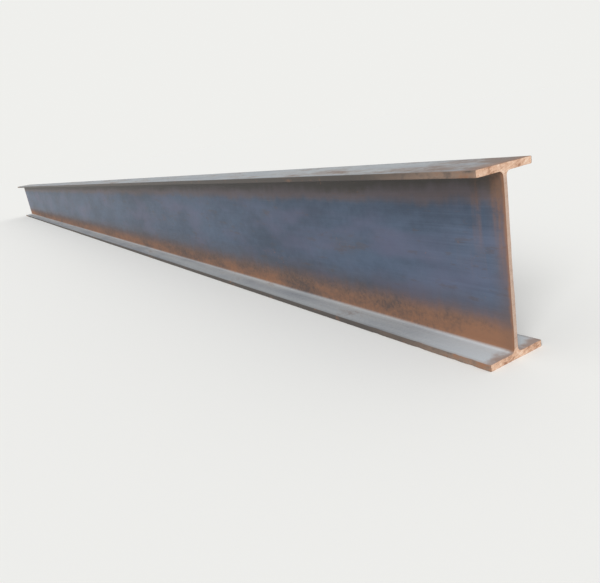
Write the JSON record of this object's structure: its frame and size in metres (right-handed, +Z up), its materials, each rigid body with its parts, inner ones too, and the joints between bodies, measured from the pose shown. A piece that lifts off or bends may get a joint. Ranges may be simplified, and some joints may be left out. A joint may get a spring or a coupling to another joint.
{
  "type": "steel h-beam",
  "caption": "Hot-rolled steel h-beam in a 6 m stock length: an upright web between two parallel flanges, with rounded roots and square sawn ends.",
  "frame": {"origin": "middle of the beam's length and width, on the lower flange's underside", "axes": "+X along the beam, +Y across the flanges, +Z up along the web"},
  "size_m": [6, 0.1234, 0.3044],
  "materials": {
    "rolled_steel": "blue-grey mill scale with brown rust along the flanges and orange rust on the sawn ends"
  },
  "bodies": {
    "root": {"h_beam": "rolled_steel"}
  },
  "joints": []
}
